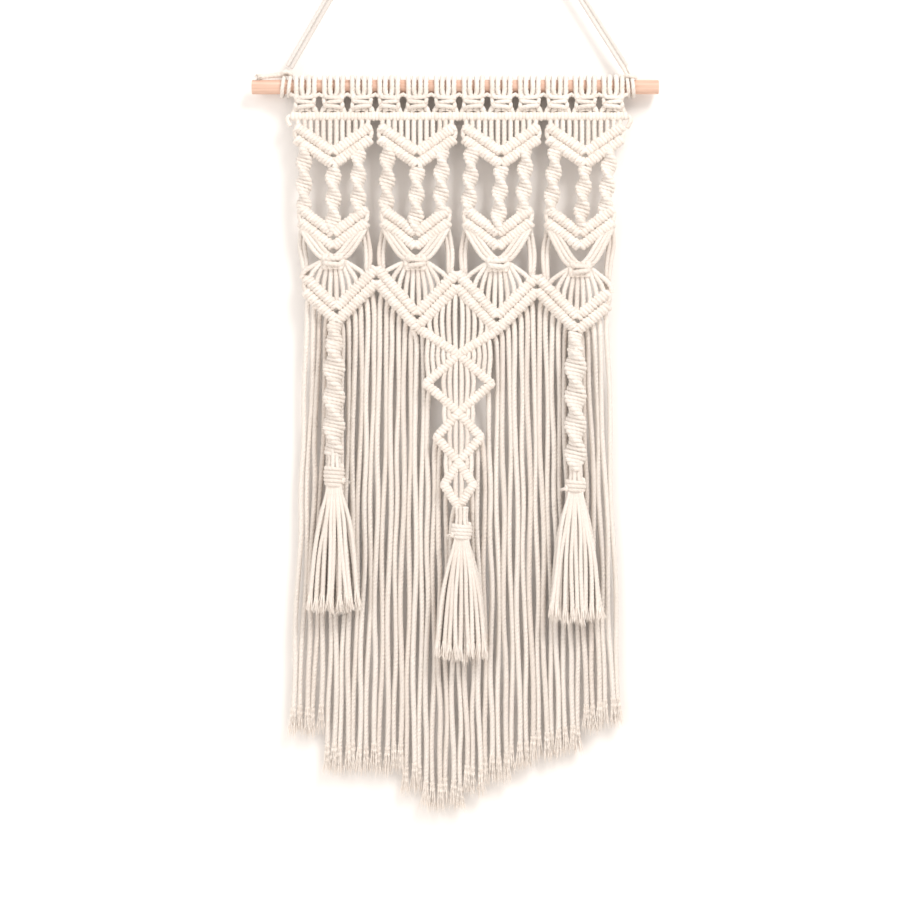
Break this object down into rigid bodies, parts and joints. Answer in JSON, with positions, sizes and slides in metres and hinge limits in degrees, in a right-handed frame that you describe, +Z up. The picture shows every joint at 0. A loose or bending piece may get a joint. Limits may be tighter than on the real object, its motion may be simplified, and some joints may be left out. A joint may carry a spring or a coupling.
{
  "type": "wall hanging",
  "caption": "Knotted cotton wall hanging on a wooden dowel, with spirals, diamonds, tassels and a long cord fringe trimmed to a shallow V, hung by a cord.",
  "frame": {"origin": "where the hanging cord rests on the top of the nail, under the middle of the bend", "axes": "+Z up, +X to the right seen from the front, +Y towards the wall"},
  "size_m": [0.425, 0.0372, 1.0553],
  "materials": {
    "cotton_cord": "matt undyed cotton",
    "dowel_wood": "bare sanded wood"
  },
  "bodies": {
    "hanger": {"hanger_bend": "cotton_cord", "hanger_leg_left": "cotton_cord", "hanger_leg_right": "cotton_cord", "hanger_knot_left": "cotton_cord", "hanger_loop_right": "cotton_cord", "hanger_tail": "cotton_cord"},
    "panel": {"dowel": "dowel_wood", "larks_heads_1": "cotton_cord", "larks_heads_2": "cotton_cord", "larks_heads_3": "cotton_cord", "larks_heads_4": "cotton_cord", "square_knots_1": "cotton_cord", "square_knots_2": "cotton_cord", "square_knots_3": "cotton_cord", "square_knots_4": "cotton_cord", "header_cord": "cotton_cord", "header_hitches": "cotton_cord", "drop_cords": "cotton_cord", "upper_chevron_1": "cotton_cord", "upper_chevron_2": "cotton_cord", "upper_chevron_3": "cotton_cord", "upper_chevron_4": "cotton_cord", "short_spirals_1": "cotton_cord", "short_spirals_2": "cotton_cord", "short_spirals_3": "cotton_cord", "short_spirals_4": "cotton_cord", "lower_chevron_1": "cotton_cord", "lower_chevron_2": "cotton_cord", "lower_chevron_3": "cotton_cord", "lower_chevron_4": "cotton_cord", "star_knot_1": "cotton_cord", "star_knot_2": "cotton_cord", "star_knot_3": "cotton_cord", "star_knot_4": "cotton_cord", "gathered_cords": "cotton_cord", "link_cords": "cotton_cord", "hem_row_upper": "cotton_cord", "hem_row_lower": "cotton_cord", "centre_arm_roots": "cotton_cord", "fringe_roots": "cotton_cord"},
    "curtain": {"centre_arms": "cotton_cord", "diamond_cords": "cotton_cord", "diamond_1": "cotton_cord", "diamond_2": "cotton_cord", "diamond_3": "cotton_cord", "fringe_1": "cotton_cord", "fringe_2": "cotton_cord", "fringe_3": "cotton_cord", "fringe_4": "cotton_cord", "fringe_5": "cotton_cord"},
    "left_spiral_body": {"left_spiral": "cotton_cord"},
    "right_spiral_body": {"right_spiral": "cotton_cord"},
    "left_tassel": {"left_tassel_wrap": "cotton_cord", "left_tassel_skirt": "cotton_cord"},
    "centre_tassel": {"centre_tassel_wrap": "cotton_cord", "centre_tassel_skirt": "cotton_cord"},
    "right_tassel": {"right_tassel_wrap": "cotton_cord", "right_tassel_skirt": "cotton_cord"}
  },
  "joints": [
    {"name": "panel_swing", "type": "hinge", "parent": "hanger", "child": "panel", "pos_m": [0, 0, -0.3], "axis": [-1, 0, 0], "range_deg": [0, 75]},
    {"name": "curtain_swing", "type": "hinge", "parent": "panel", "child": "curtain", "pos_m": [0, -0.004, -0.566], "axis": [-1, 0, 0], "range_deg": [0, 40]},
    {"name": "left_spiral_sway", "type": "hinge", "parent": "curtain", "child": "left_spiral_body", "pos_m": [-0.1205, -0.0125, -0.568], "axis": [0, 1, 0], "range_deg": [-8, 8]},
    {"name": "right_spiral_sway", "type": "hinge", "parent": "curtain", "child": "right_spiral_body", "pos_m": [0.1305, -0.0125, -0.576], "axis": [0, 1, 0], "range_deg": [-8, 8]},
    {"name": "left_tassel_sway", "type": "hinge", "parent": "left_spiral_body", "child": "left_tassel", "pos_m": [-0.1205, -0.0125, -0.6885], "axis": [0, 1, 0], "range_deg": [-15, 15]},
    {"name": "centre_tassel_sway", "type": "hinge", "parent": "curtain", "child": "centre_tassel", "pos_m": [0.012, -0.0125, -0.749], "axis": [0, 1, 0], "range_deg": [-15, 15]},
    {"name": "right_tassel_sway", "type": "hinge", "parent": "right_spiral_body", "child": "right_tassel", "pos_m": [0.1305, -0.0125, -0.703], "axis": [0, 1, 0], "range_deg": [-15, 15]}
  ]
}
